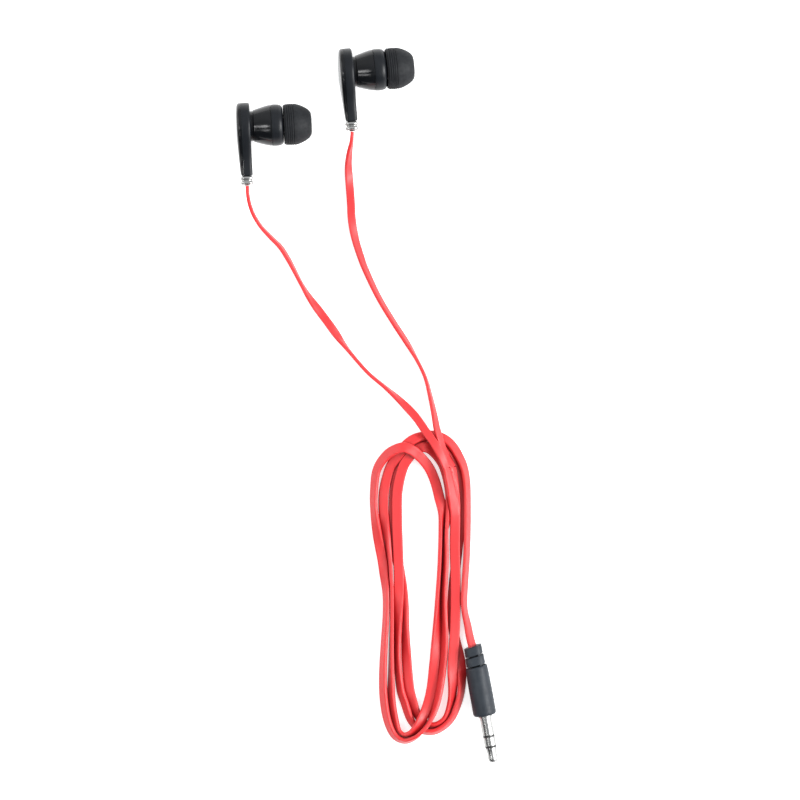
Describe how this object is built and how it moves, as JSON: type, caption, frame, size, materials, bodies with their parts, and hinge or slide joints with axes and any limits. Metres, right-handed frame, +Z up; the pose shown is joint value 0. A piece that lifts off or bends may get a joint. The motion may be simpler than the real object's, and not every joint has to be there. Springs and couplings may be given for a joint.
{
  "type": "wired earphones",
  "caption": "In-ear earphones on a flat two-branch cord that is wound into a long hank, with a straight 3.5 mm plug.",
  "frame": {"origin": "on the table, under the middle of the box of the two earbuds as they lie", "axes": "+X along the barrels towards the ear tips, +Y up the paddles away from the cord, +Z up from the table"},
  "size_m": [0.0764, 0.2085, 0.0139],
  "materials": {
    "gloss_shell": "gloss",
    "satin_shell": "satin",
    "ear_rubber": "matt",
    "bright_metal": "polished",
    "steel": "satin",
    "copper": "satin",
    "board": "matt",
    "felt": "matt",
    "film": "gloss",
    "insulation": "satin",
    "plug_moulding": "satin",
    "cord": "satin"
  },
  "bodies": {
    "root": {"left_outer_cover": "gloss_shell", "left_rear_shell": "satin_shell", "left_collar": "bright_metal", "left_cord_anchor": "insulation", "left_rear_cup": "gloss_shell", "left_front_housing": "satin_shell", "left_nozzle_mesh": "steel", "left_driver_front_plate": "steel", "left_top_plate": "steel", "left_magnet": "steel", "left_yoke": "steel", "left_basket": "satin_shell", "left_rear_felt": "felt", "left_terminal_board": "board", "left_inner_lead": "copper", "right_outer_cover": "gloss_shell", "right_rear_shell": "satin_shell", "right_collar": "bright_metal", "right_cord_anchor": "insulation", "right_rear_cup": "gloss_shell", "right_front_housing": "satin_shell", "right_nozzle_mesh": "steel", "right_driver_front_plate": "steel", "right_top_plate": "steel", "right_magnet": "steel", "right_yoke": "steel", "right_basket": "satin_shell", "right_rear_felt": "felt", "right_terminal_board": "board", "right_inner_lead": "copper", "plug_strain_relief": "plug_moulding", "plug_body": "plug_moulding", "plug_sleeve": "bright_metal", "plug_rear_insulator": "insulation", "plug_ring": "bright_metal", "plug_front_insulator": "insulation", "plug_tip": "bright_metal", "left_branch_cord": "cord", "right_branch_cord": "cord", "y_joint": "cord", "cord_hank": "cord", "last_leg_cord": "cord"},
    "left_ear_tip": {"left_ear_tip": "ear_rubber"},
    "left_cone": {"left_diaphragm": "film", "left_voice_coil": "copper"},
    "right_ear_tip": {"right_ear_tip": "ear_rubber"},
    "right_cone": {"right_diaphragm": "film", "right_voice_coil": "copper"}
  },
  "joints": [
    {"name": "left_ear_tip_pull", "type": "slide", "parent": "root", "child": "left_ear_tip", "axis": [0.9965, 0.0453, -0.0696], "range_m": [0, 0.0065]},
    {"name": "left_diaphragm_travel", "type": "slide", "parent": "root", "child": "left_cone", "axis": [0.9965, 0.0453, -0.0696], "range_m": [-0.0003, 0.0003], "stiffness_N_per_m": 40},
    {"name": "right_ear_tip_pull", "type": "slide", "parent": "root", "child": "right_ear_tip", "axis": [0.9935, 0.0904, -0.0696], "range_m": [0, 0.0065]},
    {"name": "right_diaphragm_travel", "type": "slide", "parent": "root", "child": "right_cone", "axis": [0.9935, 0.0904, -0.0696], "range_m": [-0.0003, 0.0003], "stiffness_N_per_m": 40}
  ]
}
